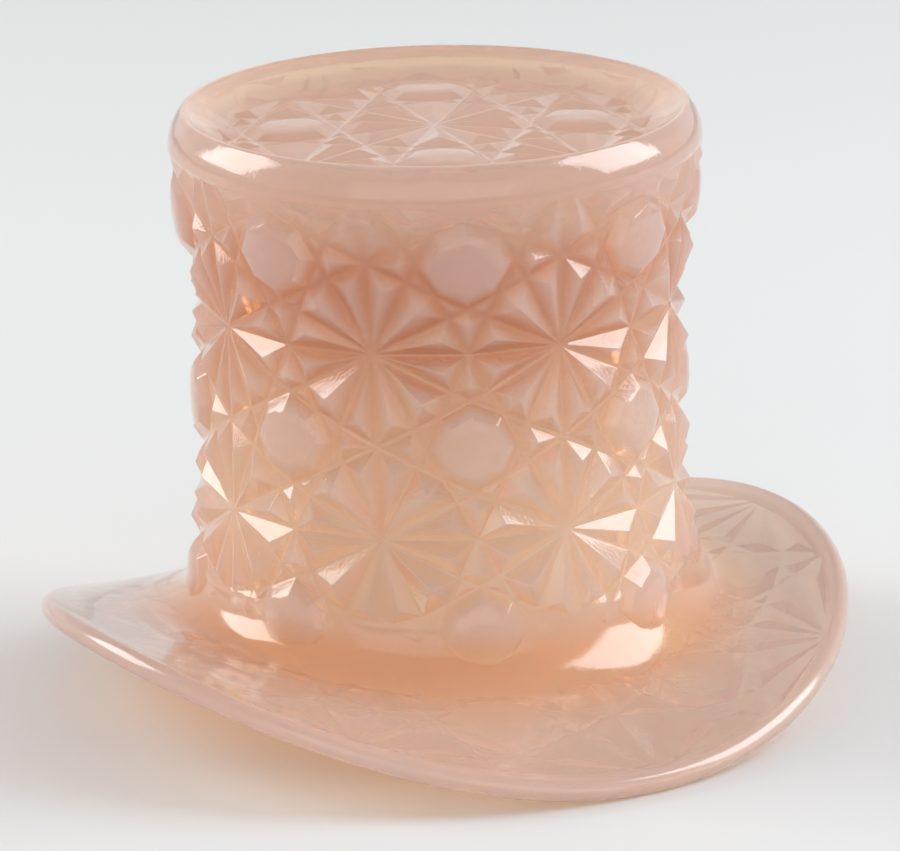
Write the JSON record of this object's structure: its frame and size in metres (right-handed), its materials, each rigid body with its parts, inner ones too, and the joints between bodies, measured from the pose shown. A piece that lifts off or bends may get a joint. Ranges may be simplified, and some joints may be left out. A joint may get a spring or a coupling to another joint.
{
  "type": "glass hat",
  "caption": "Pressed glass top hat with a daisy and button pattern, a hollow crown and a curled brim, used as a small holder or ornament.",
  "frame": {"origin": "on the crown's axis, at the surface that the dipped edges of the brim stand on", "axes": "+Z along the crown's axis to the crown end, X through the raised sides of the brim, Y through its dipped front and back"},
  "size_m": [0.083, 0.083, 0.0614],
  "materials": {
    "opalescent_glass": "fire-polished pink and peach opalescent glass"
  },
  "bodies": {
    "root": {"crown_end": "opalescent_glass", "stand_ring": "opalescent_glass", "crown_wall": "opalescent_glass", "brim_collar": "opalescent_glass", "brim": "opalescent_glass"}
  },
  "joints": []
}
